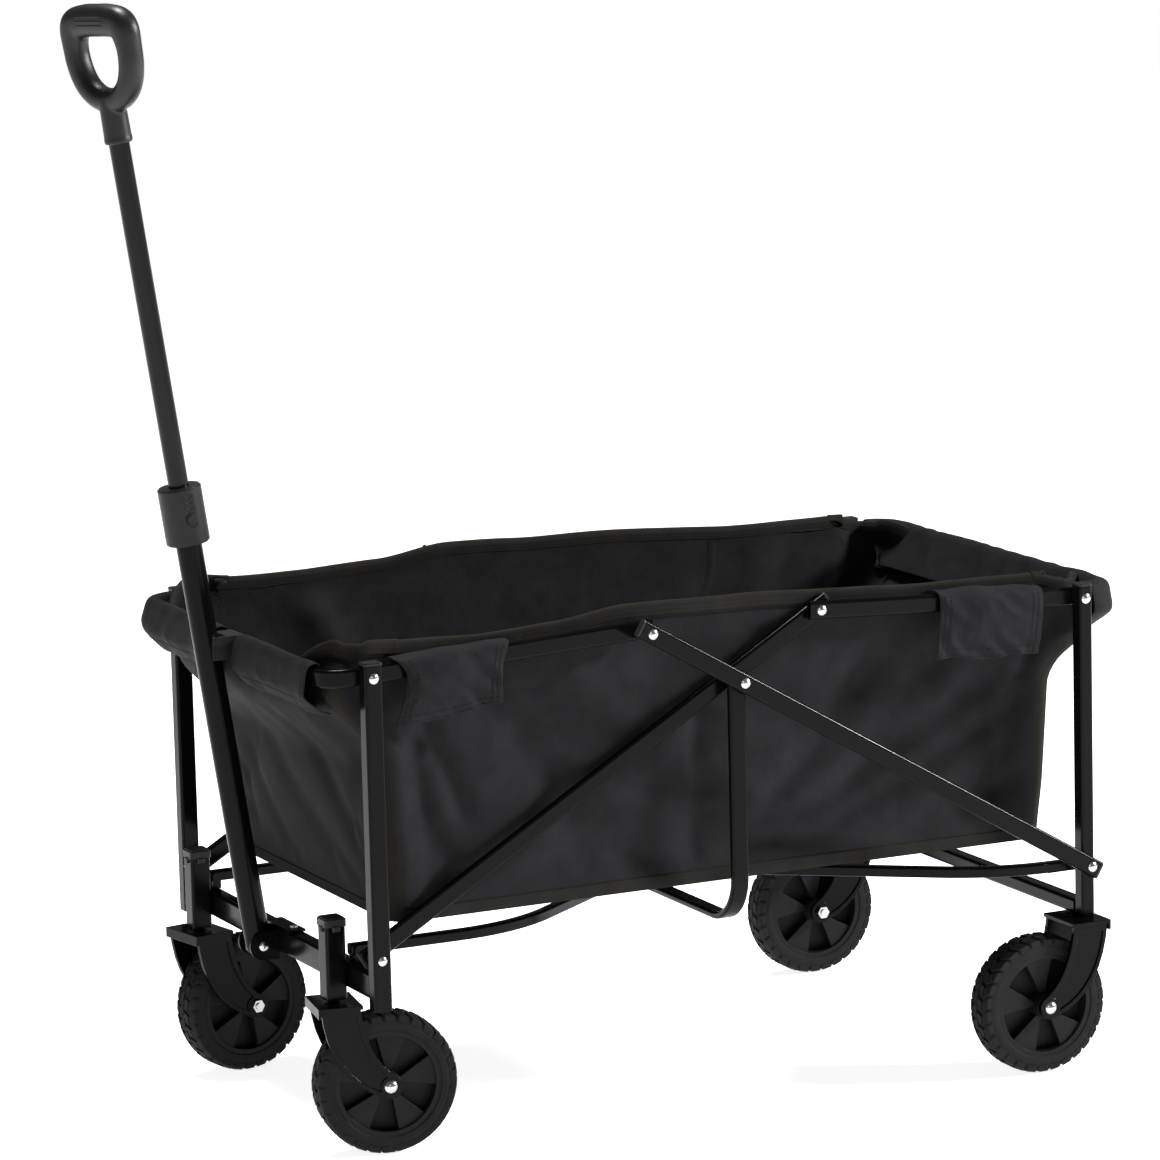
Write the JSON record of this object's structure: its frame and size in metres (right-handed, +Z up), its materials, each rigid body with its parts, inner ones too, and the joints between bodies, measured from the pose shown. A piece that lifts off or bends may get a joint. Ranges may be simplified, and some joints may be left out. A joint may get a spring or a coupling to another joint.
{
  "type": "folding utility wagon",
  "caption": "Folding fabric wagon on a scissor frame, with swivelling front wheels and a telescopic pull handle.",
  "frame": {"origin": "on the ground, under the middle of the overall length and width", "axes": "+X to the rear, away from the handle; +Y to the wagon's right side; +Z up"},
  "size_m": [1.1006, 0.604, 1.2215],
  "materials": {
    "black_powder_coat": "satin powder coat",
    "handle_tube": "semi-gloss paint",
    "black_plastic": "fine moulded texture",
    "tyre": "matte",
    "zinc_fasteners": "bright zinc plate",
    "tub_fabric": "coated polyester weave"
  },
  "bodies": {
    "rear_frame": {"rear_post_left": "black_powder_coat", "rear_post_right": "black_powder_coat", "rear_crossbar": "black_powder_coat", "rear_post_caps": "black_plastic", "rear_rivets": "zinc_fasteners", "rear_fork_left": "black_powder_coat", "rear_fork_right": "black_powder_coat", "rear_axle_bolts": "zinc_fasteners", "tub_floor": "tub_fabric", "tub_left_wall": "tub_fabric", "tub_right_wall": "tub_fabric", "tub_front_wall": "tub_fabric", "tub_rear_wall": "tub_fabric"},
    "rear_wheel_left": {"rear_tyre_left": "tyre", "rear_hub_left": "black_plastic"},
    "rear_wheel_right": {"rear_tyre_right": "tyre", "rear_hub_right": "black_plastic"},
    "rear_bow": {"rear_rail": "black_powder_coat", "rear_knee_rivets": "zinc_fasteners"},
    "outer_scissor": {"outer_bar_left": "black_powder_coat", "outer_bar_right": "black_powder_coat", "outer_bar_caps": "black_plastic", "outer_bar_rivets": "zinc_fasteners", "scissor_spacers": "black_plastic"},
    "inner_scissor": {"inner_bar_left": "black_powder_coat", "inner_bar_right": "black_powder_coat", "inner_bar_caps": "black_plastic"},
    "hoop": {"centre_hoop": "black_powder_coat"},
    "front_frame": {"front_post_left": "black_powder_coat", "front_post_right": "black_powder_coat", "front_crossbar": "black_powder_coat", "front_post_caps": "black_plastic", "front_rivets": "zinc_fasteners", "front_post_spacers": "black_plastic", "caster_socket_left": "black_powder_coat", "caster_socket_right": "black_powder_coat", "socket_bushes": "black_plastic", "handle_bracket": "black_powder_coat", "handle_bolt": "zinc_fasteners", "floor_arm_pins": "black_powder_coat"},
    "front_bow": {"front_rail": "black_powder_coat", "front_knee_pins": "zinc_fasteners", "handle_clip": "black_plastic"},
    "caster_left": {"caster_fork_left": "black_powder_coat", "caster_axle_left": "zinc_fasteners"},
    "caster_right": {"caster_fork_right": "black_powder_coat", "caster_axle_right": "zinc_fasteners"},
    "front_wheel_left": {"front_tyre_left": "tyre", "front_hub_left": "black_plastic"},
    "front_wheel_right": {"front_tyre_right": "tyre", "front_hub_right": "black_plastic"},
    "handle_base": {"lower_tube": "black_powder_coat", "handle_collar": "black_plastic"},
    "button": {"lock_button": "black_plastic"},
    "handle_top": {"upper_tube": "handle_tube", "handle_grip": "black_plastic"},
    "rear_arms": {"rear_floor_arms": "black_powder_coat", "floor_hub": "black_plastic"},
    "front_arms": {"front_floor_arms": "black_powder_coat"}
  },
  "joints": [
    {"name": "fold", "type": "hinge", "parent": "rear_frame", "child": "outer_scissor", "pos_m": [0.50055, 0, 0.226], "axis": [0, 1, 0], "range_deg": [0, 49.9], "deforming": ["tub_floor", "tub_left_wall", "tub_right_wall", "tub_front_wall", "tub_rear_wall"]},
    {"name": "inner_scissor_swing", "type": "hinge", "parent": "outer_scissor", "child": "inner_scissor", "pos_m": [0.07555, 0, 0.477], "axis": [0, 1, 0], "range_deg": [-99.9, 0]},
    {"name": "front_frame_hold", "type": "hinge", "parent": "inner_scissor", "child": "front_frame", "pos_m": [-0.34945, 0, 0.226], "axis": [0, 1, 0], "range_deg": [0, 50]},
    {"name": "hoop_hold", "type": "hinge", "parent": "outer_scissor", "child": "hoop", "pos_m": [0.07555, 0, 0.477], "axis": [0, 1, 0], "range_deg": [-50, 0]},
    {"name": "rear_bow_swing", "type": "hinge", "parent": "rear_frame", "child": "rear_bow", "pos_m": [0.50055, 0, 0.525], "axis": [0, 1, 0], "range_deg": [0, 76.16]},
    {"name": "front_bow_swing", "type": "hinge", "parent": "front_frame", "child": "front_bow", "pos_m": [-0.34945, 0, 0.525], "axis": [0, 1, 0], "range_deg": [-76.16, 0]},
    {"name": "rear_arms_swing", "type": "hinge", "parent": "rear_frame", "child": "rear_arms", "pos_m": [0.50055, 0, 0.226], "axis": [0, 1, 0], "range_deg": [0, 81.94]},
    {"name": "front_arms_swing", "type": "hinge", "parent": "front_frame", "child": "front_arms", "pos_m": [-0.34645, 0, 0.224], "axis": [0, 1, 0], "range_deg": [-81.94, 0]},
    {"name": "rear_wheel_left_spin", "type": "hinge", "parent": "rear_frame", "child": "rear_wheel_left", "pos_m": [0.43855, -0.2675, 0.077], "axis": [0, 1, 0], "continuous": true},
    {"name": "rear_wheel_right_spin", "type": "hinge", "parent": "rear_frame", "child": "rear_wheel_right", "pos_m": [0.43855, 0.2675, 0.077], "axis": [0, 1, 0], "continuous": true},
    {"name": "caster_left_swivel", "type": "hinge", "parent": "front_frame", "child": "caster_left", "pos_m": [-0.36995, -0.19, 0.17], "axis": [0, 0, 1], "continuous": true},
    {"name": "caster_right_swivel", "type": "hinge", "parent": "front_frame", "child": "caster_right", "pos_m": [-0.36995, 0.19, 0.17], "axis": [0, 0, 1], "continuous": true},
    {"name": "front_wheel_left_spin", "type": "hinge", "parent": "caster_left", "child": "front_wheel_left", "pos_m": [-0.31874, -0.19903, 0.077], "axis": [0.1736, 0.9848, 0], "continuous": true},
    {"name": "front_wheel_right_spin", "type": "hinge", "parent": "caster_right", "child": "front_wheel_right", "pos_m": [-0.31874, 0.19903, 0.077], "axis": [-0.1736, 0.9848, 0], "continuous": true},
    {"name": "handle_pitch", "type": "hinge", "parent": "front_frame", "child": "handle_base", "pos_m": [-0.37695, 0, 0.192], "axis": [0, 1, 0], "range_deg": [-80, 0]},
    {"name": "handle_slide", "type": "slide", "parent": "handle_base", "child": "handle_top", "axis": [-0.1409, 0, 0.99], "range_m": [-0.33, 0]},
    {"name": "button_press", "type": "slide", "parent": "handle_base", "child": "button", "axis": [0, 1, 0], "range_m": [0, 0.0025], "stiffness_N_per_m": 400}
  ],
  "couplings": [
    {"joint": "inner_scissor_swing", "follows": "fold", "ratio": -2},
    {"joint": "front_frame_hold", "follows": "fold", "ratio": 1},
    {"joint": "hoop_hold", "follows": "fold", "ratio": -1},
    {"joint": "rear_bow_swing", "follows": "fold", "ratio": 1.5243},
    {"joint": "front_bow_swing", "follows": "fold", "ratio": -1.5243},
    {"joint": "rear_arms_swing", "follows": "fold", "ratio": 1.64},
    {"joint": "front_arms_swing", "follows": "fold", "ratio": -1.64}
  ]
}
